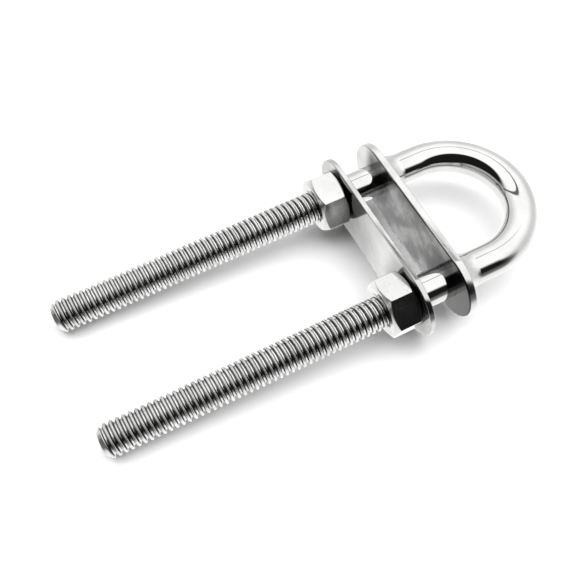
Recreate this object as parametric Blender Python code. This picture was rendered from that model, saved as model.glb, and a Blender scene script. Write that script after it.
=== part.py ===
"""Pad eye: a rod bent into an eye, a welded deck plate, a loose backing plate and two hex nuts.

World frame: X runs out of the deck towards the eye, Y runs across the two legs, Z is square to both.
The origin is the middle of the deck plate's mounting face. Every piece is drawn in the frame of one
empty, whose local Z is the depth below that face, and is placed in it by its location and rotation.
"""

import math

import bmesh
import bpy
from mathutils import Matrix, Vector

# Eye and legs
ROD_DIAMETER = 0.00794
LEG_SPACING = 0.0324
BEND_RISE = 0.0116
LEG_LENGTH = 0.0823
TIP_CHAMFER = 0.0008

# Plates
PLATE_WIDTH = 0.0172
PLATE_END_MARGIN = 0.0092
DECK_THICKNESS = 0.0020
DECK_EDGE_RADIUS = 0.0003
BACKING_THICKNESS = 0.0013
BACKING_EDGE_RADIUS = 0.0002
CLAMP_GAP = 0.0086

# Welds
WELD_HEIGHT = 0.0042
WELD_REACH = 0.0021
WELD_LIP = 0.0003

# Nuts, each turned so that one flat faces this angle from +Z towards +Y
NUT_ACROSS_FLATS = 0.0127
NUT_HEIGHT = 0.00675
NUT_FACE_SHARE = 0.94
NUT_CHAMFER_ANGLE = math.radians(30)
NUT_LEFT_TURN = math.radians(-10)
NUT_RIGHT_TURN = math.radians(14)

# Clearances
TOUCH_GAP = 0.0003
BACKING_HOLE_CLEARANCE = 0.00045

# Facets
ROD_FACETS = 48
BEND_STEPS = 36
END_ARC_STEPS = 20
WELD_ARC_STEPS = 6
NUT_FACETS = 48
EDGE_STEPS = 2

ROD_RADIUS = ROD_DIAMETER / 2
LEG_OFFSET = LEG_SPACING / 2
PLATE_LENGTH = LEG_SPACING + 2 * PLATE_END_MARGIN
BACKING_DEPTH = CLAMP_GAP
NUT_DEPTH = BACKING_DEPTH + BACKING_THICKNESS + TOUCH_GAP
SIDES = {"left": 1, "right": -1}


def clear_scene():
    for obj in list(bpy.data.objects):
        bpy.data.objects.remove(obj)


def steel(name, colour, roughness):
    material = bpy.data.materials.new(name)
    material.use_nodes = True
    shader = material.node_tree.nodes["Principled BSDF"]
    shader.inputs["Base Color"].default_value = (*colour, 1.0)
    shader.inputs["Metallic"].default_value = 1.0
    shader.inputs["Roughness"].default_value = roughness
    return material


def smooth(mesh, sharp_angle=math.radians(32)):
    for face in mesh.polygons:
        face.use_smooth = True
    mesh.set_sharp_from_angle(angle=sharp_angle)


def object_from(bm, name, material=None):
    bmesh.ops.recalc_face_normals(bm, faces=bm.faces)
    mesh = bpy.data.meshes.new(name)
    bm.to_mesh(mesh)
    bm.free()
    smooth(mesh)
    obj = bpy.data.objects.new(name, mesh)
    bpy.context.scene.collection.objects.link(obj)
    if material:
        mesh.materials.append(material)
    return obj


def place(obj, parent, side=0, depth=0.0, turn=0.0):
    obj.parent = parent
    obj.location = (0.0, side * LEG_OFFSET, depth)
    obj.rotation_euler = (0.0, 0.0, turn)


def ring(bm, radius, facets, centre):
    made = bmesh.ops.create_circle(bm, segments=facets, radius=radius, matrix=Matrix.Translation(centre))
    return made["verts"]


def lathe(profile, facets, name):
    """Turns a closed outline of (radius, height) points once round local Z."""
    bm = bmesh.new()
    verts = [bm.verts.new((radius, 0.0, height)) for radius, height in profile]
    edges = [bm.edges.new((a, b)) for a, b in zip(verts, verts[1:] + verts[:1])]
    bmesh.ops.spin(
        bm,
        geom=verts + edges,
        cent=(0.0, 0.0, 0.0),
        axis=(0.0, 0.0, 1.0),
        angle=2 * math.pi,
        steps=facets,
        use_merge=True,
    )
    bmesh.ops.remove_doubles(bm, verts=bm.verts, dist=1e-7)
    return object_from(bm, name)


def cutter(bm, name, parent):
    obj = object_from(bm, name)
    obj.hide_render = True
    obj.display_type = "WIRE"
    obj.parent = parent
    return obj


def boolean(obj, other, operation):
    modifier = obj.modifiers.new(other.name, "BOOLEAN")
    modifier.operation = operation
    modifier.solver = "EXACT"
    modifier.object = other


def edges_within(bm, verts):
    return [edge for edge in bm.edges if edge.verts[0] in verts and edge.verts[1] in verts]


def extrude_end(bm, verts, offset, scale=1.0):
    """Extrudes a ring of points by an offset, scales it about its own centre and returns the new ring."""
    made = bmesh.ops.extrude_edge_only(bm, edges=edges_within(bm, verts))["geom"]
    new = [item for item in made if isinstance(item, bmesh.types.BMVert)]
    bmesh.ops.translate(bm, verts=new, vec=offset)
    centre = sum((vert.co for vert in new), Vector()) / len(new)
    bmesh.ops.scale(bm, verts=new, vec=(scale, scale, 1.0), space=Matrix.Translation(-centre))
    return new


def leg(bm, verts):
    """Runs a leg straight down from the end of the bend, and closes it with a chamfered tip."""
    shank = BEND_RISE + LEG_LENGTH - TIP_CHAMFER
    verts = extrude_end(bm, verts, (0.0, 0.0, shank))
    tip = extrude_end(bm, verts, (0.0, 0.0, TIP_CHAMFER), 1 - TIP_CHAMFER / ROD_RADIUS)
    bmesh.ops.edgeloop_fill(bm, edges=edges_within(bm, tip))


def u_bolt(material, parent):
    bm = bmesh.new()
    first = ring(bm, ROD_RADIUS, ROD_FACETS, (0.0, -LEG_OFFSET, -BEND_RISE))
    loop = first + list({edge for vert in first for edge in vert.link_edges})
    spun = bmesh.ops.spin(
        bm,
        geom=loop,
        cent=(0.0, 0.0, -BEND_RISE),
        axis=(1.0, 0.0, 0.0),
        angle=math.pi,
        steps=BEND_STEPS,
    )
    last = [item for item in spun["geom_last"] if isinstance(item, bmesh.types.BMVert)]
    leg(bm, first)
    leg(bm, last)
    place(object_from(bm, "u_bolt", material), parent)


def plate_outline():
    """The outline of a plate with fully rounded ends, one arc of points at each end."""
    end_radius = PLATE_WIDTH / 2
    end_centre = PLATE_LENGTH / 2 - end_radius
    points = []
    for side in (1, -1):
        for step in range(END_ARC_STEPS + 1):
            angle = math.pi * step / END_ARC_STEPS
            across = side * end_radius * math.cos(angle)
            along = side * (end_centre + end_radius * math.sin(angle))
            points.append((across, along))
    return points


def leg_hole(name, side, radius, thickness, parent):
    bm = bmesh.new()
    reach = 2 * thickness
    bmesh.ops.create_cone(
        bm,
        cap_ends=True,
        segments=ROD_FACETS,
        radius1=radius,
        radius2=radius,
        depth=thickness + 2 * reach,
        matrix=Matrix.Translation((0.0, side * LEG_OFFSET, thickness / 2)),
    )
    return cutter(bm, name, parent)


def plate(name, material, parent, depth, thickness, edge_radius, hole_radius):
    bm = bmesh.new()
    face = bm.faces.new([bm.verts.new((x, y, 0.0)) for x, y in plate_outline()])
    raised = bmesh.ops.extrude_face_region(bm, geom=[face])["geom"]
    moved = [item for item in raised if isinstance(item, bmesh.types.BMVert)]
    bmesh.ops.translate(bm, verts=moved, vec=(0.0, 0.0, thickness))
    obj = object_from(bm, name, material)
    place(obj, parent, depth=depth)
    rim = obj.modifiers.new("rim", "BEVEL")
    rim.width = edge_radius
    rim.segments = EDGE_STEPS
    rim.limit_method = "ANGLE"
    rim.angle_limit = math.radians(60)
    for side_name, side in SIDES.items():
        hole = leg_hole(f"{name}_hole_{side_name}", side, hole_radius, thickness, obj)
        boolean(obj, hole, "DIFFERENCE")


def weld_fillet(name, side, material, parent):
    inner = ROD_RADIUS + TOUCH_GAP
    outer = inner + WELD_LIP + WELD_REACH
    top = WELD_LIP + WELD_HEIGHT
    profile = [(inner, 0.0), (outer, 0.0)]
    for step in range(WELD_ARC_STEPS + 1):
        angle = math.pi / 2 * step / WELD_ARC_STEPS
        radius = outer - WELD_REACH * math.sin(angle)
        height = top - WELD_HEIGHT * math.cos(angle)
        profile.append((radius, height))
    profile.append((inner, top))
    obj = lathe([(radius, -height) for radius, height in profile], ROD_FACETS, name)
    obj.data.materials.append(material)
    place(obj, parent, side, depth=-(DECK_THICKNESS + TOUCH_GAP))


def nut_blank():
    """The outline of the turned blank that chamfers the hexagon's corners at both faces."""
    corner = NUT_ACROSS_FLATS / math.sqrt(3) * 1.02
    face = NUT_ACROSS_FLATS / 2 * NUT_FACE_SHARE
    fall = (corner - face) * math.tan(NUT_CHAMFER_ANGLE)
    bore = ROD_RADIUS + TOUCH_GAP
    return [
        (bore, 0.0),
        (face, 0.0),
        (corner, fall),
        (corner, NUT_HEIGHT - fall),
        (face, NUT_HEIGHT),
        (bore, NUT_HEIGHT),
    ]


def hex_prism(name, parent):
    bm = bmesh.new()
    bmesh.ops.create_cone(
        bm,
        cap_ends=True,
        segments=6,
        radius1=NUT_ACROSS_FLATS / math.sqrt(3),
        radius2=NUT_ACROSS_FLATS / math.sqrt(3),
        depth=NUT_HEIGHT * 2,
        matrix=Matrix.Translation((0.0, 0.0, NUT_HEIGHT / 2)),
    )
    return cutter(bm, name, parent)


def hex_nut(name, side, turn, material, parent):
    obj = lathe(nut_blank(), NUT_FACETS, name)
    obj.data.materials.append(material)
    place(obj, parent, side, NUT_DEPTH, turn)
    boolean(obj, hex_prism(f"{name}_hexagon", obj), "INTERSECT")


def build():
    clear_scene()
    root = bpy.data.objects.new("pad_eye", None)
    root.rotation_euler = (0.0, -math.pi / 2, 0.0)
    bpy.context.scene.collection.objects.link(root)

    polished = (0.62, 0.62, 0.60)
    u_bolt(steel("u_bolt", polished, 0.12), root)
    plate(
        "deck_plate",
        steel("deck_plate", polished, 0.14),
        root,
        depth=-DECK_THICKNESS,
        thickness=DECK_THICKNESS,
        edge_radius=DECK_EDGE_RADIUS,
        hole_radius=ROD_RADIUS + TOUCH_GAP,
    )
    plate(
        "backing_plate",
        steel("backing_plate", polished, 0.16),
        root,
        depth=BACKING_DEPTH,
        thickness=BACKING_THICKNESS,
        edge_radius=BACKING_EDGE_RADIUS,
        hole_radius=ROD_RADIUS + BACKING_HOLE_CLEARANCE,
    )
    turns = {"left": NUT_LEFT_TURN, "right": NUT_RIGHT_TURN}
    for side_name, side in SIDES.items():
        weld = steel(f"weld_fillet_{side_name}", polished, 0.22)
        weld_fillet(f"weld_fillet_{side_name}", side, weld, root)
        nut = steel(f"hex_nut_{side_name}", polished, 0.15)
        hex_nut(f"hex_nut_{side_name}", side, turns[side_name], nut, root)


build()
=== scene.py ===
"""The looks of the pad eye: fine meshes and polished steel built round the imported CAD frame."""

import math

import bmesh
import bpy
from mathutils import Matrix, Vector, noise


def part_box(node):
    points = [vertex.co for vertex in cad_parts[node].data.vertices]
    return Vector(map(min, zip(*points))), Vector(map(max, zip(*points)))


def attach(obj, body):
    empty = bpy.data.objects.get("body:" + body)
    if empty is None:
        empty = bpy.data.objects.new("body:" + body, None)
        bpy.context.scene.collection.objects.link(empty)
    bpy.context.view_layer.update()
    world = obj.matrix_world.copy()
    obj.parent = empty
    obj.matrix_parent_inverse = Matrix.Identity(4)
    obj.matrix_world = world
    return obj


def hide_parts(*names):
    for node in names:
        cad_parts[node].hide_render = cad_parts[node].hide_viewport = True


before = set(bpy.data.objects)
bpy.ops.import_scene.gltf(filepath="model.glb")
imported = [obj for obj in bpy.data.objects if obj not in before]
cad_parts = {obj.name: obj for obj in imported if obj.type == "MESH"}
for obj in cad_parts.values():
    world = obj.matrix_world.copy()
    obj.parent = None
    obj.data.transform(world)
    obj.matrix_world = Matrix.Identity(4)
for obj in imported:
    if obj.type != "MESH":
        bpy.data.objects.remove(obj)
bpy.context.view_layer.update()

MM = 0.001

# The thread. Crest, root and seam are in shares of the pitch from the crest's middle, and the crown's fall
# and the seam's depth in shares of the thread's depth
THREAD_PITCH = 25.4 / 18 * MM
THREAD_CREST_RADIUS = 3.90 * MM
THREAD_DEPTH = 0.82 * MM
THREAD_ROOT_RADIUS = THREAD_CREST_RADIUS - THREAD_DEPTH
THREAD_FADE = 1.5 * THREAD_PITCH
CREST_HALF = 0.13
ROOT_START = 0.39
CREST_CROWN = 0.06
CREST_SEAM = 0.10
CREST_SEAM_HALF = 0.05
HALF_PROFILE = (0.03, 0.06, CREST_HALF, (CREST_HALF + ROOT_START) / 2, ROOT_START, 0.46)
THREAD_PROFILE = (0.0, *HALF_PROFILE, *(1.0 - share for share in reversed(HALF_PROFILE)))

# The tips of the legs
TIP_RADIUS = 2.75 * MM
TIP_SLOPE = 0.9
TIP_DISH = 0.12 * MM
TIP_RINGS = (1.0, 0.97, 0.6, 0.25, 0.0)

# The nuts. Each is turned so that one flat faces its angle from +Z towards +Y
NUT_ACROSS_FLATS = 12.7 * MM
NUT_FACE_SHARE = 0.90
NUT_CHAMFER_SLOPE = math.tan(math.radians(30))
NUT_TURN = {"left": math.radians(-10), "right": math.radians(14)}
NUT_EDGE_RADIUS = 0.14 * MM
NUT_EASED_ANGLE = math.radians(25)
NUT_SHARP_ANGLE = math.radians(40)
COUNTERSINK_RADIUS = 4.35 * MM
THREAD_CLEARANCE = 0.04 * MM
CONTACT_GAP = 0.03 * MM

# The plates and their holes
SHARP_ANGLE = math.radians(50)
DECK_EDGE_RADIUS = 0.35 * MM
DECK_HOLE_CLEARANCE = 0.05 * MM
BACKING_EDGE_RADIUS = 0.2 * MM
BACKING_HOLE_CLEARANCE = 0.35 * MM

# The welds, beyond their boxes. Their unevenness is in shares of their size
WELD_TOE = 0.12 * MM
WELD_SINK = 0.1 * MM
WELD_OVERLAP = 0.05 * MM
WELD_FULLNESS = 0.80
WELD_SIZE = 0.97
WELD_UNEVEN = 0.05
WELD_LUMPS = 1.5
WELD_RIPPLE = 0.012
WELD_RIPPLES = 23
WELD_STEPS = 12

# Points around each ring and along each curve
AROUND = 60
BOW_STEPS = 90
PLATE_ARC_STEPS = 40

# Sizes read from the frame
bolt_low, bolt_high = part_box("u_bolt")
deck_low, deck_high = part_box("deck_plate")
backing_low, backing_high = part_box("backing_plate")
weld_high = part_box("weld_fillet_left")[1]
ROD_RADIUS = bolt_high.z
LEG_OFFSET = bolt_high.y - ROD_RADIUS
BEND_X = bolt_high.x - ROD_RADIUS - LEG_OFFSET
TIP_X = bolt_low.x
THREAD_START_X = backing_low.x + 0.3 * MM
RING_ANGLES = [2 * math.pi * step / AROUND for step in range(AROUND + 1)]
SIDES = {"left": 1, "right": -1}


def object_from(name, verts, faces, merge=1e-7):
    """A smooth-shaded mesh object; points that coincide become one."""
    mesh = bpy.data.meshes.new(name)
    mesh.from_pydata([tuple(vert) for vert in verts], [], faces)
    bm = bmesh.new()
    bm.from_mesh(mesh)
    bmesh.ops.remove_doubles(bm, verts=bm.verts, dist=merge)
    bmesh.ops.dissolve_degenerate(bm, edges=bm.edges, dist=merge)
    bmesh.ops.recalc_face_normals(bm, faces=bm.faces)
    bm.to_mesh(mesh)
    bm.free()
    for face in mesh.polygons:
        face.use_smooth = True
    obj = bpy.data.objects.new(name, mesh)
    bpy.context.scene.collection.objects.link(obj)
    return obj


def weight_normals(obj):
    modifier = obj.modifiers.new("even shading", "WEIGHTED_NORMAL")
    modifier.keep_sharp = True
    modifier.weight = 80


def ease_edges(obj, radius, angle):
    """Rounds every edge sharper than an angle."""
    modifier = obj.modifiers.new("eased edges", "BEVEL")
    modifier.width = radius
    modifier.segments = 3
    modifier.limit_method = "ANGLE"
    modifier.angle_limit = angle
    modifier.harden_normals = True


def loft(rows):
    """Quads between rows of points that have the same length."""
    width = len(rows[0])
    verts = [point for row in rows for point in row]
    faces = []
    for row in range(len(rows) - 1):
        for column in range(width - 1):
            a = row * width + column
            faces.append((a, a + 1, a + width + 1, a + width))
    return verts, faces


def joined(parts):
    """One list of points and one of faces from several."""
    verts = []
    faces = []
    for part_verts, part_faces in parts:
        start = len(verts)
        verts += part_verts
        faces += [tuple(index + start for index in face) for face in part_faces]
    return verts, faces


def thread_height(phase):
    """Share of the thread's depth at a phase of 0 to 1 from crest to crest, seamed along the crest."""
    distance = abs((phase + 0.5) % 1.0 - 0.5)
    flank = min(max((ROOT_START - distance) / (ROOT_START - CREST_HALF), 0.0), 1.0)
    crown = 1 - CREST_CROWN * min(distance / CREST_HALF, 1.0) ** 2
    seam = CREST_SEAM * max(1 - distance / CREST_SEAM_HALF, 0.0)
    return min(flank, crown) - seam


def ring_point(side, x, radius, angle):
    """A point round a leg's axis, at an angle measured from +Z towards +Y."""
    return (x, side * LEG_OFFSET + radius * math.sin(angle), radius * math.cos(angle))


def thread_cut(x, angle):
    """Radius of the endless right-hand thread at a place along the leg and an angle round it."""
    phase = (THREAD_START_X - x) / THREAD_PITCH - angle / (2 * math.pi)
    return THREAD_CREST_RADIUS - THREAD_DEPTH * (1 - thread_height(phase))


def thread_radius(x, angle):
    """Radius of a threaded leg: the thread fades into the smooth shank and is chamfered at the tip."""
    cut = thread_cut(x, angle)
    fade = min(max((THREAD_START_X - x) / THREAD_FADE, 0.0), 1.0)
    fade = fade * fade * (3 - 2 * fade)
    cone = TIP_RADIUS + (x - TIP_X) * TIP_SLOPE
    return min(ROD_RADIUS + (cut - ROD_RADIUS) * fade, cone)


def helix_rows(start_x, end_x, point, first_angle=0.0):
    """Rows of points that follow the thread's crest and root along -X, cut off at start_x and end_x."""
    first_turn = math.floor((THREAD_START_X - start_x) / THREAD_PITCH) - 2
    last_turn = math.ceil((THREAD_START_X - end_x) / THREAD_PITCH) + 1
    rows = []
    for turn in range(first_turn, last_turn):
        for share in THREAD_PROFILE:
            row = []
            for angle in RING_ANGLES:
                angle += first_angle
                x = THREAD_START_X - THREAD_PITCH * (turn + share + angle / (2 * math.pi))
                row.append(point(min(max(x, end_x), start_x), angle))
            rows.append(row)
    return rows


def tip_rows(side):
    """The flat end of a leg, very slightly dished."""
    rows = []
    for share in TIP_RINGS:
        x = TIP_X + TIP_DISH * (1 - share) ** 2
        rows.append([ring_point(side, x, TIP_RADIUS * share, angle) for angle in RING_ANGLES])
    return rows


def bow_rows():
    """Rings of the smooth rod from one leg's thread, round the bow, to the other leg's thread."""
    rows = []
    straight = [THREAD_START_X, deck_low.x, deck_high.x]
    for x in straight:
        rows.append([ring_point(1, x, ROD_RADIUS, angle) for angle in RING_ANGLES])
    for step in range(BOW_STEPS + 1):
        turn = math.pi * step / BOW_STEPS
        row = []
        for angle in RING_ANGLES:
            reach = LEG_OFFSET + ROD_RADIUS * math.sin(angle)
            x = BEND_X + reach * math.sin(turn)
            row.append((x, reach * math.cos(turn), ROD_RADIUS * math.cos(angle)))
        rows.append(row)
    for x in reversed(straight):
        rows.append([ring_point(-1, x, ROD_RADIUS, -angle) for angle in RING_ANGLES])
    return rows


def u_bolt():
    """The bent rod, threaded from the backing plate's place to both tips."""
    parts = [loft(bow_rows())]
    for side in SIDES.values():

        def thread_point(x, angle):
            return ring_point(side, x, thread_radius(x, angle), angle)

        parts.append(loft(helix_rows(THREAD_START_X, TIP_X, thread_point)))
        parts.append(loft(tip_rows(side)))
    obj = object_from("rod", *joined(parts))
    weight_normals(obj)
    return obj


def bake_modifiers(obj):
    graph = bpy.context.evaluated_depsgraph_get()
    mesh = bpy.data.meshes.new_from_object(obj.evaluated_get(graph))
    obj.modifiers.clear()
    obj.data = mesh


def cut_holes(obj, radius, low, high):
    """Cuts both leg holes through a plate that lies between two places along X."""
    cutters = []
    for side in SIDES.values():
        centre = Matrix.Translation(((low + high) / 2, side * LEG_OFFSET, 0.0))
        made = bmesh.new()
        bmesh.ops.create_cone(
            made,
            cap_ends=True,
            segments=AROUND,
            radius1=radius,
            radius2=radius,
            depth=(high - low) * 3,
            matrix=centre @ Matrix.Rotation(math.pi / 2, 4, "Y"),
        )
        mesh = bpy.data.meshes.new("cutter")
        made.to_mesh(mesh)
        made.free()
        cutter = bpy.data.objects.new("cutter", mesh)
        bpy.context.scene.collection.objects.link(cutter)
        modifier = obj.modifiers.new("hole", "BOOLEAN")
        modifier.solver = "EXACT"
        modifier.object = cutter
        cutters.append(cutter)
    bake_modifiers(obj)
    for cutter in cutters:
        bpy.data.objects.remove(cutter)


def plate(name, low, high, hole_radius, edge_radius):
    """A plate with fully rounded ends, its rim eased and its two holes left with sharp edges."""
    end_radius = high.z
    end_centre = high.y - end_radius
    outline = []
    for side in (1, -1):
        for step in range(PLATE_ARC_STEPS + 1):
            angle = math.pi * step / PLATE_ARC_STEPS
            z = side * end_radius * math.cos(angle)
            y = side * (end_centre + end_radius * math.sin(angle))
            outline.append((y, z))
    count = len(outline)
    verts = [(x, y, z) for x in (low.x, high.x) for y, z in outline]
    faces = [tuple(range(count)), tuple(range(count, 2 * count))]
    faces += [(i, (i + 1) % count, count + (i + 1) % count, count + i) for i in range(count)]
    obj = object_from(name, verts, faces)
    ease_edges(obj, edge_radius, SHARP_ANGLE)
    cut_holes(obj, hole_radius, low.x, high.x)
    for face in obj.data.polygons:
        face.use_smooth = True
    obj.data.set_sharp_from_angle(angle=SHARP_ANGLE)
    weight_normals(obj)
    return obj


def weld(name, side):
    """A dressed fillet weld: a ring from the plate up the rod, a little uneven and rippled by hand."""
    inner = ROD_RADIUS - WELD_OVERLAP
    base_x = deck_high.x - WELD_SINK
    reach = weld_high.z - ROD_RADIUS - WELD_TOE
    height = weld_high.x - deck_high.x
    rows = []
    for angle in RING_ANGLES[:-1] + RING_ANGLES[:1]:
        place = Vector((math.sin(angle) * WELD_LUMPS, math.cos(angle) * WELD_LUMPS, side * 3.0))
        uneven = WELD_UNEVEN * noise.noise(place)
        swell = WELD_SIZE + uneven + WELD_RIPPLE * math.sin(WELD_RIPPLES * angle)
        row = [ring_point(side, base_x, inner, angle)]
        row.append(ring_point(side, base_x, ROD_RADIUS + WELD_TOE + reach * swell, angle))
        for bend in range(WELD_STEPS + 1):
            turn = math.pi / 2 * bend / WELD_STEPS
            radius = ROD_RADIUS + WELD_TOE + reach * swell * (1 - math.sin(turn)) ** WELD_FULLNESS
            x = deck_high.x + height * swell * (1 - math.cos(turn)) ** WELD_FULLNESS
            row.append(ring_point(side, x, radius, angle))
        row.append(ring_point(side, deck_high.x + height * swell, inner, angle))
        row.append(row[0])
        rows.append(row)
    obj = object_from(name, *loft(rows))
    obj.data.set_sharp_from_angle(angle=SHARP_ANGLE)
    return obj


def nut_shell(name, side, low_x, high_x, turn):
    """The outside of a nut: six flats, the turned chamfers that trim them and the two annular faces."""
    middle = (low_x + high_x) / 2
    half = (high_x - low_x) / 2
    apothem = NUT_ACROSS_FLATS / 2
    face_radius = apothem * NUT_FACE_SHARE
    parts = []
    for end in (1, -1):
        rows = [[], [], [], []]
        for angle in RING_ANGLES:
            from_flat = (angle + math.pi / 6) % (math.pi / 3) - math.pi / 6
            hexagon = apothem / math.cos(from_flat)
            fall = (hexagon - face_radius) * NUT_CHAMFER_SLOPE
            outline = [(hexagon, half), (hexagon, fall), (face_radius, 0.0), (COUNTERSINK_RADIUS, 0.0)]
            for row, (radius, depth) in zip(rows, outline):
                row.append(ring_point(side, middle + end * (half - depth), radius, turn + angle))
        parts.append(loft(rows))
    obj = object_from(name, *joined(parts))
    ease_edges(obj, NUT_EDGE_RADIUS, NUT_EASED_ANGLE)
    bake_modifiers(obj)
    return obj


def nut(name, side, turn):
    """A hex nut chamfered at both faces, its bore countersunk and threaded to run on its leg."""
    low_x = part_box(name)[0].x
    high_x = backing_low.x - CONTACT_GAP
    shell = nut_shell(name + "_shell", side, low_x, high_x, turn)

    def bore_point(x, angle):
        cut = thread_cut(x, angle) + THREAD_CLEARANCE
        from_face = min(x - low_x, high_x - x)
        return ring_point(side, x, max(cut, COUNTERSINK_RADIUS - from_face), angle)

    bore = loft(helix_rows(high_x, low_x, bore_point, turn))
    verts = [tuple(vert.co) for vert in shell.data.vertices]
    faces = [tuple(face.vertices) for face in shell.data.polygons]
    bpy.data.objects.remove(shell)
    obj = object_from(name + "_body", *joined([(verts, faces), bore]))
    obj.data.set_sharp_from_angle(angle=NUT_SHARP_ANGLE)
    weight_normals(obj)
    return obj


class Nodes:
    """Adds nodes to a tree and links them, so that a shader reads as nested calls."""

    def __init__(self, tree):
        self.tree = tree

    def add(self, kind, settings=None, **inputs):
        """A node with its settings; an input is named by its socket's name, or by its number after an i."""
        node = self.tree.nodes.new(kind)
        for name, value in (settings or {}).items():
            setattr(node, name, value)
        for name, value in inputs.items():
            key = int(name[1:]) if name[1:].isdigit() else name.replace("_", " ")
            socket = node.inputs[key]
            if isinstance(value, bpy.types.NodeSocket):
                self.tree.links.new(value, socket)
            else:
                socket.default_value = value
        return node

    def split(self, vector):
        return self.add("ShaderNodeSeparateXYZ", Vector=vector).outputs

    def dot(self, vector, fixed):
        node = self.add("ShaderNodeVectorMath", {"operation": "DOT_PRODUCT"}, i0=vector, i1=fixed)
        return node.outputs["Value"]

    def math(self, operation, *values):
        inputs = {f"i{index}": value for index, value in enumerate(values)}
        return self.add("ShaderNodeMath", {"operation": operation}, **inputs).outputs[0]

    def remap(self, value, low, high, to_low=0.0, to_high=1.0, style="SMOOTHSTEP"):
        node = self.add(
            "ShaderNodeMapRange",
            {"interpolation_type": style},
            Value=value,
            From_Min=low,
            From_Max=high,
            To_Min=to_low,
            To_Max=to_high,
        )
        return node.outputs["Result"]

    def noise(self, vector, scale, detail):
        node = self.add("ShaderNodeTexNoise", {"normalize": True}, Vector=vector, Scale=scale, Detail=detail)
        return node.outputs["Fac"]

    def mix(self, factor, a, b):
        """A plain number between a and b."""
        node = self.add("ShaderNodeMix", {"data_type": "FLOAT"}, i0=factor, i2=a, i3=b)
        return node.outputs[0]


# Where the painted shade and reflections change. Each pair is a distance, a place or a share at which a
# change starts and ends
# Painted shade on the thread's flanks
FLANK_SHADE_ABOVE_ROOT = (0.10, 0.35)
FLANK_SHADE_BELOW_CREST = (0.60, 0.80)
ROOT_SHADE = 0.95
UNSHADED_TIP = (0.9 * MM, 1.4 * MM)
# Painted reflection of the nuts' shadows on the backing plate's face
NUT_SHADE_REACH = (5.5 * MM, 12.0 * MM)
NUT_SHADE_LEFTWARD = (-8.0 * MM, 11.0 * MM)
NUT_SHADE_PAST_NUT = (14.0 * MM, 20.0 * MM)
NUT_SHADE_SKIN = (0.05 * MM, 0.25 * MM)
FAR_END_SHADE = 0.9
# Painted shade in the crease where each weld meets the deck plate
CREASE_DEPTH = 0.3 * MM
CREASE_WANDER = 0.35 * MM
# Painted reflections on the deck plate's mounting face
FACE_SHADE_REACH = (ROD_RADIUS + 1.0 * MM, ROD_RADIUS + 5.5 * MM)
FACE_SHADE_WANDER = 4.0 * MM
FACE_SHADE_CLOUDS = (0.35, 0.68)
FACE_CLOUD_SHADES = (0.12, 0.42)
FACE_SHADE_LEFT_END = (LEG_OFFSET + 1.5 * MM, LEG_OFFSET + 5.5 * MM)
FACE_SHADE_RIGHT_END = (-LEG_OFFSET, -LEG_OFFSET - 4.0 * MM)
FACE_RIGHT_END_SHADE = 0.12
FACE_SHADE_SKIN = (0.15 * MM, 0.4 * MM)


def leg_radius(nodes, place):
    """Distance from the nearer leg's axis."""
    x, y, z = nodes.split(place)
    across = nodes.math("SUBTRACT", nodes.math("ABSOLUTE", y), LEG_OFFSET)
    squares = nodes.math("ADD", nodes.math("MULTIPLY", across, across), nodes.math("MULTIPLY", z, z))
    return nodes.math("SQRT", squares)


def skin(nodes, x, face_x, depths):
    """1 on a plate's face towards the tips, 0 further in."""
    return nodes.remap(x, face_x + depths[0], face_x + depths[1], 1.0, 0.0)


def thread_flank_shade(nodes, place, shade):
    """Painted shade: darkens the thread's flanks, where they mirror the dark surround, and leaves crest,
    root and tip bright.
    """
    radius = leg_radius(nodes, place)
    share = nodes.remap(radius, THREAD_ROOT_RADIUS, THREAD_CREST_RADIUS, style="LINEAR")
    above_root = nodes.remap(share, *FLANK_SHADE_ABOVE_ROOT, ROOT_SHADE, shade)
    below_crest = nodes.remap(share, *FLANK_SHADE_BELOW_CREST, 0.0, 1.0 - shade)
    x, y, z = nodes.split(place)
    off_tip = nodes.remap(x, TIP_X + UNSHADED_TIP[0], TIP_X + UNSHADED_TIP[1])
    return nodes.mix(off_tip, 1.0, nodes.math("ADD", above_root, below_crest))


def nut_shadow_reflection(nodes, place, shade):
    """Painted reflection of the nuts' shadows on the table: darkens the backing plate's face under the nuts,
    more towards the left one, and not past it.
    """
    x, y, z = nodes.split(place)
    near_nut = nodes.remap(leg_radius(nodes, place), *NUT_SHADE_REACH, shade, 1.0)
    leftward = nodes.remap(y, *NUT_SHADE_LEFTWARD, 1.0, 0.8 * shade)
    shaded = nodes.math("MULTIPLY", near_nut, leftward)
    shaded = nodes.mix(nodes.remap(y, *NUT_SHADE_PAST_NUT), shaded, FAR_END_SHADE)
    return nodes.mix(skin(nodes, x, backing_low.x, NUT_SHADE_SKIN), 1.0, shaded)


def weld_crease_shade(nodes, place, shade):
    """Painted shade in the crease where a weld meets the plate."""
    x, y, z = nodes.split(place)
    wander = nodes.math("MULTIPLY", nodes.noise(place, 900.0, 2.0), CREASE_WANDER)
    depth = nodes.math("SUBTRACT", x, nodes.math("ADD", wander, deck_high.x))
    return nodes.remap(depth, 0.0, CREASE_DEPTH, shade, 1.0)


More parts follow.
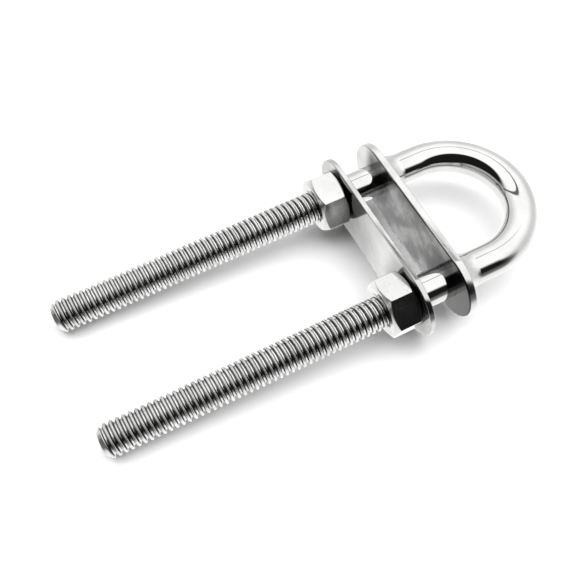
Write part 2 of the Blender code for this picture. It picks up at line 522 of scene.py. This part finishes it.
def mounting_face_reflection(nodes, place, shade):
    """Painted reflections on the plate's mounting face: darkened in clouds, nearly black round each leg
    where it mirrors the dark shanks, dark at the right end where it mirrors shaded table, and barely
    darkened at the left end where it mirrors lit table.
    """
    x, y, z = nodes.split(place)
    reach = nodes.math("ADD", nodes.noise(place, 260.0, 3.0), -0.5)
    radius = nodes.math("MULTIPLY_ADD", reach, FACE_SHADE_WANDER, leg_radius(nodes, place))
    cloudy = nodes.remap(nodes.noise(place, 170.0, 4.0), *FACE_SHADE_CLOUDS, *FACE_CLOUD_SHADES)
    darkened = nodes.remap(radius, *FACE_SHADE_REACH, shade, cloudy)
    darkened = nodes.mix(nodes.remap(y, *FACE_SHADE_LEFT_END), darkened, FAR_END_SHADE)
    darkened = nodes.mix(nodes.remap(y, *FACE_SHADE_RIGHT_END), darkened, FACE_RIGHT_END_SHADE)
    return nodes.mix(skin(nodes, x, deck_low.x, FACE_SHADE_SKIN), 1.0, darkened)


# The spread of noise, or of the surface's direction along X, over which each kind of unevenness comes in
END_FACING = (0.75, 0.9)
CLOUD_SPREAD = (0.35, 0.7)
TONE_SPREAD = (0.3, 0.7)
SCRATCH_SPREAD = (0.5, 0.75)
PIT_SPREAD = (0.66, 0.74)
BLUE_SHARE = 0.985


def scratches(nodes, place, on_end, look):
    """Fine lines along the piece, and turned rings on the ends of the pieces that have them."""
    drawn = nodes.add("ShaderNodeVectorMath", {"operation": "MULTIPLY"}, i0=place, i1=look["grain"])
    along = nodes.noise(drawn.outputs[0], 1.0, 4.0)
    if not look["turning"]:
        return along
    radius = nodes.math("MULTIPLY", leg_radius(nodes, place), look["turning"])
    rings = nodes.add("ShaderNodeCombineXYZ", X=radius)
    return nodes.mix(on_end, along, nodes.noise(rings.outputs[0], 1.0, 2.0))


def steel(name, look):
    """Polished steel: uneven polish, faint waves, scratches, pits, and painted shade and reflections."""
    material = bpy.data.materials.new(name)
    material.use_nodes = True
    tree = material.node_tree
    nodes = Nodes(tree)
    shader = tree.nodes["Principled BSDF"]
    coordinates = nodes.add("ShaderNodeTexCoord").outputs
    place = coordinates["Object"]
    facing = nodes.math("ABSOLUTE", nodes.split(coordinates["Normal"])[0])
    on_end = nodes.remap(facing, *END_FACING)
    grain = scratches(nodes, place, on_end, look)
    cloud = nodes.noise(place, look["cloud_scale"], 3.0)
    pits = nodes.remap(nodes.noise(place, look["fleck_scale"], 2.0), *PIT_SPREAD)

    polish = nodes.remap(cloud, *CLOUD_SPREAD, *look["roughness"])
    drag = nodes.remap(grain, *SCRATCH_SPREAD, 0.0, look["grain_roughness"])
    raw_side = nodes.mix(on_end, look["side_roughness"], look["end_roughness"])
    roughness = nodes.math("ADD", nodes.math("ADD", polish, drag), raw_side)
    tree.links.new(roughness, shader.inputs["Roughness"])

    dark, bright = look["reflectance"]
    tone = nodes.remap(cloud, *TONE_SPREAD, bright, dark)
    tone = nodes.math("MULTIPLY", tone, nodes.remap(pits, 0.0, 1.0, 1.0, look["pit_shade"]))
    # Painted shade and reflections: each darkens the colour
    for painted_shade, shade in look["painted_shade"]:
        tone = nodes.math("MULTIPLY", tone, painted_shade(nodes, place, shade))
    blue = nodes.math("MULTIPLY", tone, BLUE_SHARE)
    colour = nodes.add("ShaderNodeCombineColor", Red=tone, Green=tone, Blue=blue)
    tree.links.new(colour.outputs[0], shader.inputs["Base Color"])

    height = nodes.math("MULTIPLY", nodes.noise(place, look["wave_scale"], 1.0), look["wave_height"])
    height = nodes.math("MULTIPLY_ADD", grain, look["grain_height"], height)
    height = nodes.math("MULTIPLY_ADD", pits, -look["pit_height"], height)
    bump = nodes.add("ShaderNodeBump", Height=height, Distance=1.0, Strength=1.0)
    tree.links.new(bump.outputs[0], shader.inputs["Normal"])
    shader.inputs["Metallic"].default_value = 1.0
    return material


# How each kind of piece is finished. Scales are per metre and heights in metres. Each painted shade and
# reflection has the shade that it leaves where it is darkest
MIRROR = {
    "reflectance": (0.58, 0.64),
    "roughness": (0.03, 0.07),
    "side_roughness": 0.0,
    "end_roughness": 0.0,
    "cloud_scale": 160.0,
    "wave_scale": 110.0,
    "wave_height": 8e-6,
    "grain": (900.0, 5200.0, 5200.0),
    "turning": 0.0,
    "grain_height": 3e-7,
    "grain_roughness": 0.02,
    "fleck_scale": 2600.0,
    "pit_height": 8e-7,
    "pit_shade": 0.9,
    "painted_shade": (),
}
PLATE = {
    **MIRROR,
    "reflectance": (0.54, 0.64),
    "roughness": (0.09, 0.17),
    "side_roughness": -0.04,
    "grain": (5200.0, 600.0, 5200.0),
    "grain_height": 7e-7,
    "grain_roughness": 0.04,
    "cloud_scale": 120.0,
    "wave_height": 1.2e-5,
}
# The backing plate's face carries a painted reflection of the nuts' shadows
BACKING_PLATE = {**PLATE, "reflectance": (0.46, 0.58), "painted_shade": ((nut_shadow_reflection, 0.45),)}
# The deck plate's mounting face carries painted reflections of the shanks and of shaded and lit table
DECK_PLATE = {**PLATE, "roughness": (0.12, 0.24), "painted_shade": ((mounting_face_reflection, 0.04),)}
THREAD = {
    **MIRROR,
    "reflectance": (0.56, 0.70),
    "roughness": (0.04, 0.12),
    "end_roughness": 0.15,
    "grain": (1500.0, 1500.0, 1500.0),
    "grain_height": 2e-6,
    "grain_roughness": 0.06,
    "turning": 9000.0,
    "pit_height": 3e-6,
    "pit_shade": 0.5,
    # Painted shade on the thread's flanks
    "painted_shade": ((thread_flank_shade, 0.14),),
}
NUT = {
    **MIRROR,
    "roughness": (0.10, 0.18),
    "end_roughness": 0.06,
    "grain": (700.0, 4200.0, 4200.0),
    "grain_height": 1.2e-6,
    "grain_roughness": 0.06,
    "turning": 7000.0,
    "pit_height": 2.5e-6,
    "pit_shade": 0.7,
    # Painted shade on the flanks of the nut's bore thread
    "painted_shade": ((thread_flank_shade, 0.15),),
}
WELD = {
    **MIRROR,
    "roughness": (0.07, 0.16),
    "cloud_scale": 600.0,
    "wave_scale": 420.0,
    "wave_height": 1.6e-5,
    # Painted shade in the crease at the weld's foot
    "painted_shade": ((weld_crease_shade, 0.15),),
}


def show(obj, node, body, *materials):
    """Gives a piece its materials and its body, and hides the CAD node that it stands for."""
    obj.data.materials.clear()
    for material in materials:
        obj.data.materials.append(material)
    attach(obj, body)
    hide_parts(node)


def build_object():
    rod = u_bolt()
    show(rod, "u_bolt", "eye", steel("rod steel", MIRROR), steel("thread steel", THREAD))
    for face in rod.data.polygons:
        face.material_index = int(face.center.x < THREAD_START_X)
    hole = ROD_RADIUS + DECK_HOLE_CLEARANCE
    deck = plate("deck_plate_body", deck_low, deck_high, hole, DECK_EDGE_RADIUS)
    show(deck, "deck_plate", "eye", steel("deck plate steel", DECK_PLATE))
    hole = ROD_RADIUS + BACKING_HOLE_CLEARANCE
    backing = plate("backing_plate_body", backing_low, backing_high, hole, BACKING_EDGE_RADIUS)
    show(backing, "backing_plate", "backing", steel("backing plate steel", BACKING_PLATE))
    for side_name, side in SIDES.items():
        node = f"weld_fillet_{side_name}"
        show(weld(node + "_bead", side), node, "eye", steel(f"weld steel {side_name}", WELD))
        node = f"hex_nut_{side_name}"
        body = nut(node, side, NUT_TURN[side_name])
        show(body, node, f"nut_{side_name}", steel(f"nut steel {side_name}", NUT))


# Camera
CAMERA_TARGET = Vector((-32.4, -1.3, 0.0)) * MM
CAMERA_DISTANCE = 163.0 * MM
CAMERA_AZIMUTH = math.radians(-21.72)
CAMERA_ELEVATION = math.radians(59.88)
CAMERA_ROLL = math.radians(-5.4)
CAMERA_LENS = 45.0

# Floor
FLOOR_REACH = 3.0
FLOOR_WHITE = (0.93, 0.93, 0.93, 1.0)
FLOOR_ROUGHNESS = 0.6


def floor_material():
    material = bpy.data.materials.new("white table")
    material.use_nodes = True
    shader = material.node_tree.nodes["Principled BSDF"]
    shader.inputs["Base Color"].default_value = FLOOR_WHITE
    shader.inputs["Roughness"].default_value = FLOOR_ROUGHNESS
    return material


def build_floor():
    """The table top, hidden from mirrors. It touches the legs' tips and the backing plate's lower edge."""
    tip = Vector((TIP_X, 0.0, -ROD_RADIUS))
    edge = Vector((backing_low.x, 0.0, backing_low.z))
    slope = math.atan2(tip.z - edge.z, edge.x - tip.x)
    mesh = bpy.data.meshes.new("floor")
    corners = [(x * FLOOR_REACH, y * FLOOR_REACH, 0.0) for x, y in ((-1, -1), (1, -1), (1, 1), (-1, 1))]
    mesh.from_pydata(corners, [], [(0, 1, 2, 3)])
    obj = bpy.data.objects.new("floor", mesh)
    bpy.context.scene.collection.objects.link(obj)
    obj.location = edge
    obj.rotation_euler = (0.0, slope, 0.0)
    mesh.materials.append(floor_material())
    obj.visible_glossy = False


def build_camera():
    data = bpy.data.cameras.new("camera")
    data.lens = CAMERA_LENS
    data.sensor_width = 36.0
    data.clip_start = 0.01
    data.clip_end = 50.0
    camera = bpy.data.objects.new("camera", data)
    bpy.context.scene.collection.objects.link(camera)
    level = math.cos(CAMERA_ELEVATION)
    direction = Vector(
        (math.sin(CAMERA_AZIMUTH) * level, -math.cos(CAMERA_AZIMUTH) * level, math.sin(CAMERA_ELEVATION))
    )
    camera.location = CAMERA_TARGET + direction * CAMERA_DISTANCE
    turn = direction.to_track_quat("Z", "Y").to_matrix() @ Matrix.Rotation(CAMERA_ROLL, 3, "Z")
    camera.rotation_euler = turn.to_euler()
    bpy.context.scene.camera = camera


# Studio: soft light from all round, an unlit oval where the room and the camera stand, a dusky side below it
# and two tent seams. Heights and other pairs are parts of a direction of length 1
UP = (0.0, 0.0, 1.0)
OVERHEAD = 1.60
OVERHEAD_HEIGHT = (0.2, 0.75)
HORIZON = 1.00
TABLE = 1.35
TABLE_HEIGHT = (-0.5, -0.05)
FLOOR_GAIN = (0.9, 2.6)
FLOOR_GAIN_HEIGHT = (0.3, 1.0)
BACKDROP = 1.0
ROOM = 0.015
ROOM_AZIMUTH = math.radians(230)
ROOM_ELEVATION = math.radians(40)
ROOM_TILT = math.radians(-7)
ROOM_REACH = (0.985, 0.53)
ROOM_EDGE = (0.85, 1.2)
ROOM_FRONT = (-0.05, 0.1)
DUSK = 0.80
DUSK_AZIMUTH = math.radians(235)
DUSK_SIDE = (0.0, 0.4)
DUSK_BOTTOM = (-0.6, -0.25)
DUSK_TOP = (0.3, 0.5)
SEAM_SIDE = (0.2, 0.4)
SEAMS = (
    {"normal": (0.461, 0.713, -0.528), "width": 0.038, "brightness": 0.12},
    {"normal": (0.276, 0.329, 0.903), "width": 0.045, "brightness": 0.12},
)


def direction_to(azimuth, elevation):
    """A unit vector, its azimuth counted from +X towards +Y."""
    level = math.cos(elevation)
    return Vector((math.cos(azimuth) * level, math.sin(azimuth) * level, math.sin(elevation)))


def room_mask(nodes, ray):
    """1 inside the unlit oval, 0 outside it, with a soft edge."""
    centre = direction_to(ROOM_AZIMUTH, ROOM_ELEVATION)
    level = Vector((0.0, 0.0, 1.0)).cross(centre).normalized()
    rise = centre.cross(level)
    wide = level * math.cos(ROOM_TILT) + rise * math.sin(ROOM_TILT)
    tall = rise * math.cos(ROOM_TILT) - level * math.sin(ROOM_TILT)
    u = nodes.dot(ray, tuple(wide / ROOM_REACH[0]))
    w = nodes.dot(ray, tuple(tall / ROOM_REACH[1]))
    distance = nodes.math("ADD", nodes.math("MULTIPLY", u, u), nodes.math("MULTIPLY", w, w))
    ahead = nodes.remap(nodes.dot(ray, tuple(centre)), *ROOM_FRONT)
    return nodes.math("MULTIPLY", ahead, nodes.remap(distance, *ROOM_EDGE, 1.0, 0.0))


def tent(nodes, ray):
    """Brightness of the surround by direction, without the unlit oval."""
    height = nodes.dot(ray, UP)
    above = nodes.remap(height, *OVERHEAD_HEIGHT, 0.0, OVERHEAD - HORIZON)
    below = nodes.remap(height, *TABLE_HEIGHT, TABLE - HORIZON, 0.0)
    lit = nodes.math("ADD", nodes.math("ADD", above, below), HORIZON)
    dusk_side = nodes.remap(nodes.dot(ray, tuple(direction_to(DUSK_AZIMUTH, 0.0))), *DUSK_SIDE)
    dusk = nodes.math("MULTIPLY", dusk_side, nodes.remap(height, *DUSK_BOTTOM))
    dusk = nodes.math("MULTIPLY", dusk, nodes.remap(height, *DUSK_TOP, DUSK, 0.0))
    lit = nodes.math("MULTIPLY", lit, nodes.math("SUBTRACT", 1.0, dusk))
    seam_side = nodes.remap(nodes.dot(ray, (0.0, 1.0, 0.0)), *SEAM_SIDE)
    for seam in SEAMS:
        distance = nodes.math("ABSOLUTE", nodes.dot(ray, seam["normal"]))
        line = nodes.remap(distance, seam["width"] / 2, seam["width"], 1 - seam["brightness"], 0.0)
        line = nodes.math("MULTIPLY", line, seam_side)
        lit = nodes.math("MULTIPLY", lit, nodes.math("SUBTRACT", 1.0, line))
    return lit


def build_light():
    """The world's light: even behind the object, and stronger from overhead where it falls on the table."""
    world = bpy.data.worlds.new("studio")
    bpy.context.scene.world = world
    world.use_nodes = True
    tree = world.node_tree
    nodes = Nodes(tree)
    ray = nodes.add("ShaderNodeTexCoord").outputs["Generated"]
    reflected = nodes.mix(room_mask(nodes, ray), tent(nodes, ray), ROOM)
    path = nodes.add("ShaderNodeLightPath").outputs
    floor_gain = nodes.remap(nodes.dot(ray, UP), *FLOOR_GAIN_HEIGHT, *FLOOR_GAIN, style="LINEAR")
    gain = nodes.mix(path["Is Diffuse Ray"], 1.0, floor_gain)
    lighting = nodes.math("MULTIPLY", reflected, gain)
    strength = nodes.mix(path["Is Camera Ray"], lighting, BACKDROP)
    background = tree.nodes["Background"]
    background.inputs["Color"].default_value = (1.0, 1.0, 1.0, 1.0)
    tree.links.new(strength, background.inputs["Strength"])
    bpy.context.scene.view_settings.view_transform = "Standard"


build_object()
build_floor()
build_camera()
build_light()
